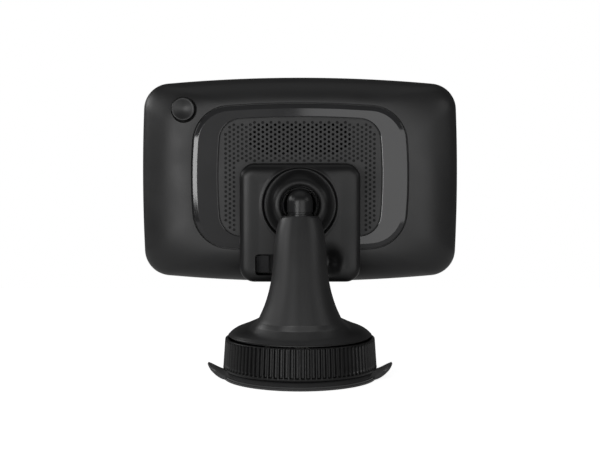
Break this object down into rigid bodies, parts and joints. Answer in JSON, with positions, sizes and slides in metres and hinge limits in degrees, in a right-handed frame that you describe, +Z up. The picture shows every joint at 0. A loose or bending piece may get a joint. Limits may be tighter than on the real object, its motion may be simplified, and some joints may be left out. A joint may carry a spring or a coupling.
{
  "type": "portable gps navigator",
  "caption": "Portable road navigator with a touch screen, docked by magnets on a ball-jointed windscreen arm with a dial-locked suction cup.",
  "frame": {"origin": "centre of the suction cup's flat foot", "axes": "+Z up from the foot, the screen faces -Y, the arm's and the speaker's side faces +Y"},
  "size_m": [0.145, 0.0745, 0.1319],
  "materials": {
    "cover_plastic": "fine matte texture",
    "frame_plastic": "matte",
    "trim_plastic": "satin",
    "grille_plastic": "matte, perforated",
    "dock_plastic": "satin",
    "arm_plastic": "satin",
    "stem_plastic": "semi-gloss",
    "liner_plastic": "natural acetal",
    "dial_rubber": "ribbed, matte",
    "cup_rubber": "glossy soft plastic",
    "screen_glass": "polished, black backed",
    "display": "polarised film",
    "foam": "closed-cell foam",
    "circuit_board": "solder mask",
    "plated_steel": "plated",
    "gold_plate": "gold plated",
    "magnet_plate": "nickel plated",
    "cell_wrap": "foil pouch",
    "ceramic": "fired ceramic"
  },
  "bodies": {
    "base": {"arm_shell": "arm_plastic", "ball_stem": "stem_plastic", "stem_washer": "plated_steel", "stem_screw": "plated_steel", "base_plate": "frame_plastic", "suction_cup": "cup_rubber", "base_screw_1": "plated_steel", "base_screw_2": "plated_steel", "base_screw_3": "plated_steel", "base_screw_4": "plated_steel"},
    "dial": {"locking_dial": "dial_rubber", "cam_ring": "liner_plastic"},
    "plunger": {"plunger": "liner_plastic", "cup_stud": "frame_plastic"},
    "seat_liner": {"seat_liner": "liner_plastic"},
    "pressure_cup": {"pressure_cup": "liner_plastic"},
    "dock": {"dock_rear_shell": "dock_plastic", "finger_collar": "dock_plastic", "pressure_spring": "plated_steel", "dock_front_plate": "dock_plastic", "contact_block": "frame_plastic", "dock_board": "circuit_board", "usb_receptacle": "plated_steel", "dock_magnet_1": "magnet_plate", "dock_magnet_2": "magnet_plate", "dock_screw_1": "plated_steel", "dock_screw_2": "plated_steel", "dock_screw_3": "plated_steel", "dock_screw_4": "plated_steel"},
    "head": {"rear_cover": "cover_plastic", "trim_ring": "trim_plastic", "speaker_grille": "grille_plastic", "speaker_basket": "frame_plastic", "speaker_cone": "foam", "speaker_magnet": "magnet_plate", "power_switch": "frame_plastic", "front_frame": "frame_plastic", "touch_glass": "screen_glass", "display_panel": "display", "display_gasket": "foam", "mid_frame": "plated_steel", "main_board": "circuit_board", "battery": "cell_wrap", "shield_can": "plated_steel", "gps_antenna": "ceramic", "card_reader": "plated_steel", "docking_plate": "plated_steel", "housing_screw_1": "plated_steel", "housing_screw_2": "plated_steel", "housing_screw_3": "plated_steel", "housing_screw_4": "plated_steel", "contact_pad_1": "gold_plate", "contact_pad_2": "gold_plate", "contact_pad_3": "gold_plate", "contact_pad_4": "gold_plate"},
    "power_button": {"power_button": "cover_plastic"},
    "contact_pin_1": {"contact_pin_1": "gold_plate"},
    "contact_pin_2": {"contact_pin_2": "gold_plate"},
    "contact_pin_3": {"contact_pin_3": "gold_plate"},
    "contact_pin_4": {"contact_pin_4": "gold_plate"}
  },
  "joints": [
    {"name": "ball_swivel", "type": "hinge", "parent": "base", "child": "seat_liner", "pos_m": [0, -0.011, 0.074], "axis": [0, 0, 1], "range_deg": [-15, 15]},
    {"name": "ball_tilt", "type": "hinge", "parent": "seat_liner", "child": "pressure_cup", "pos_m": [0, -0.011, 0.074], "axis": [1, 0, 0], "range_deg": [-20, 10]},
    {"name": "ball_roll", "type": "hinge", "parent": "pressure_cup", "child": "dock", "pos_m": [0, -0.011, 0.074], "axis": [0, 1, 0], "range_deg": [-15, 15]},
    {"name": "head_release", "type": "slide", "parent": "dock", "child": "head", "axis": [0, -1, 0], "range_m": [0, 0.025]},
    {"name": "power_press", "type": "slide", "parent": "head", "child": "power_button", "axis": [0, -1, 0], "range_m": [0, 0.0006], "stiffness_N_per_m": 600, "springref_m": -0.001},
    {"name": "dial_turn", "type": "hinge", "parent": "base", "child": "dial", "pos_m": [0, 0, 0.01], "axis": [0, 0, 1], "range_deg": [0, 90]},
    {"name": "plunger_lift", "type": "slide", "parent": "base", "child": "plunger", "axis": [0, 0, 1], "range_m": [0, 0.0025], "deforming": ["suction_cup"]},
    {"name": "pin_press_1", "type": "slide", "parent": "dock", "child": "contact_pin_1", "axis": [0, 1, 0], "range_m": [0, 0.0007], "stiffness_N_per_m": 200, "springref_m": -0.001},
    {"name": "pin_press_2", "type": "slide", "parent": "dock", "child": "contact_pin_2", "axis": [0, 1, 0], "range_m": [0, 0.0007], "stiffness_N_per_m": 200, "springref_m": -0.001},
    {"name": "pin_press_3", "type": "slide", "parent": "dock", "child": "contact_pin_3", "axis": [0, 1, 0], "range_m": [0, 0.0007], "stiffness_N_per_m": 200, "springref_m": -0.001},
    {"name": "pin_press_4", "type": "slide", "parent": "dock", "child": "contact_pin_4", "axis": [0, 1, 0], "range_m": [0, 0.0007], "stiffness_N_per_m": 200, "springref_m": -0.001}
  ],
  "couplings": [
    {"joint": "plunger_lift", "follows": "dial_turn", "m_per_rad": 0.0015915}
  ]
}
